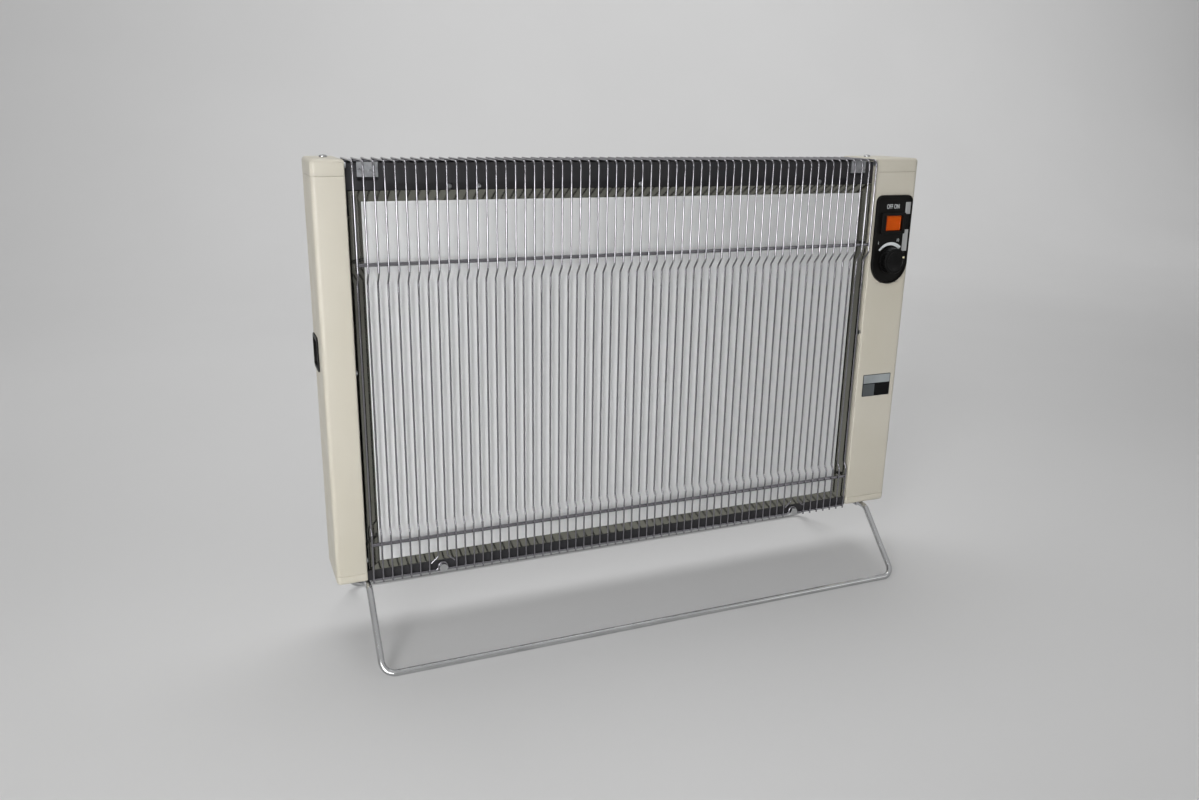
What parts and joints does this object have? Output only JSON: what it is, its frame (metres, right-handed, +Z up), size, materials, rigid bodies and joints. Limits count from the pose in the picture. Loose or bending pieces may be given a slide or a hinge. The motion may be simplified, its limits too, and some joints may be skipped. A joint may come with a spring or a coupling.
{
  "type": "ceramic panel heater",
  "caption": "Free-standing ceramic panel heater with a white panel behind a bent wire guard, cream columns, a push switch, a power knob and a chromed rod stand.",
  "frame": {"origin": "point on the floor under the middle of the body, midway between its ends and halfway through its depth", "axes": "+X to the right seen from the front, +Y to the back, +Z up"},
  "size_m": [0.707, 0.2186, 0.5154],
  "materials": {
    "cream_paint": "satin baked enamel, cream",
    "dark_paint": "satin dark grey enamel",
    "mirror_sheet": "polished reflector sheet",
    "ceramic": "matt white ceramic coating on aluminium",
    "chrome_wire": "bright chromed wire",
    "chrome_rod": "bright chromed rod",
    "plated_steel": "zinc-plated steel",
    "black_plastic": "moulded black plastic, fine texture",
    "knob_plastic": "black plastic, satin gloss",
    "orange_plastic": "translucent orange plastic",
    "silver_foil": "satin silver inlay",
    "white_print": "white inlay",
    "cream_dot": "cream inlay",
    "badge_face": "plain two-tone plate",
    "element_sheath": "heat-darkened steel sheath",
    "white_ceramic": "glazed ceramic",
    "fibre_board": "mineral fibre board",
    "circuit_board": "green laminate with parts",
    "white_plastic": "white moulded plastic",
    "wire_insulation": "heat-proof wire insulation",
    "black_rubber": "moulded black rubber",
    "brass_bob": "turned brass"
  },
  "bodies": {
    "heater": {"left_column_cover": "cream_paint", "right_column_cover": "cream_paint", "right_back_cover": "cream_paint", "left_top_cap": "cream_paint", "right_top_cap": "cream_paint", "left_bottom_cap": "cream_paint", "right_bottom_cap": "cream_paint", "left_post": "plated_steel", "right_post": "plated_steel", "cap_screws": "chrome_rod", "side_screws": "plated_steel", "left_handle_cup": "black_plastic", "right_handle_cup": "black_plastic", "rear_casing": "dark_paint", "rear_screws": "plated_steel", "board_spacers": "plated_steel", "front_plate": "dark_paint", "guard_clips": "plated_steel", "bottom_tray": "dark_paint", "guard_pins": "chrome_rod", "reflector_left": "mirror_sheet", "reflector_right": "mirror_sheet", "reflector_top": "mirror_sheet", "reflector_bottom": "mirror_sheet", "ceramic_panel": "ceramic", "panel_rail_top": "dark_paint", "panel_rail_bottom": "dark_paint", "heating_element": "element_sheath", "element_straps": "plated_steel", "element_terminals": "white_ceramic", "thermal_cutout": "black_plastic", "insulation_board": "fibre_board", "guard_wires": "chrome_wire", "guard_cross_wires": "chrome_wire", "control_bezel": "black_plastic", "bezel_strips": "silver_foil", "power_scale": "white_print", "control_bracket": "plated_steel", "bracket_screws": "plated_steel", "switch_housing": "black_plastic", "switch_contacts": "black_plastic", "regulator_body": "plated_steel", "control_board": "circuit_board", "board_posts": "plated_steel", "terminal_block": "white_plastic", "wiring_loom": "wire_insulation", "lead_grommet": "black_rubber", "tip_switch_case": "black_plastic", "tip_switch_pin": "plated_steel", "cord_gland": "black_rubber", "badge_plate": "badge_face", "front_stand": "chrome_rod", "rear_stand": "chrome_rod", "stand_clamps": "plated_steel", "clamp_screws": "plated_steel"},
    "power_button": {"power_button": "orange_plastic"},
    "power_knob": {"power_knob": "knob_plastic", "regulator_spindle": "plated_steel", "knob_pointer": "cream_dot"},
    "tip_pendulum": {"tip_pendulum": "brass_bob"}
  },
  "joints": [
    {"name": "power_button_press", "type": "slide", "parent": "heater", "child": "power_button", "axis": [0, 1, 0], "range_m": [0, 0.003], "stiffness_N_per_m": 400},
    {"name": "power_knob_turn", "type": "hinge", "parent": "heater", "child": "power_knob", "pos_m": [0.3205, -0.04, 0.393], "axis": [0, -1, 0], "range_deg": [-66, 204]},
    {"name": "tip_pendulum_swing", "type": "hinge", "parent": "heater", "child": "tip_pendulum", "pos_m": [0.3058, 0, 0.244], "axis": [1, 0, 0], "range_deg": [-15, 15]}
  ]
}
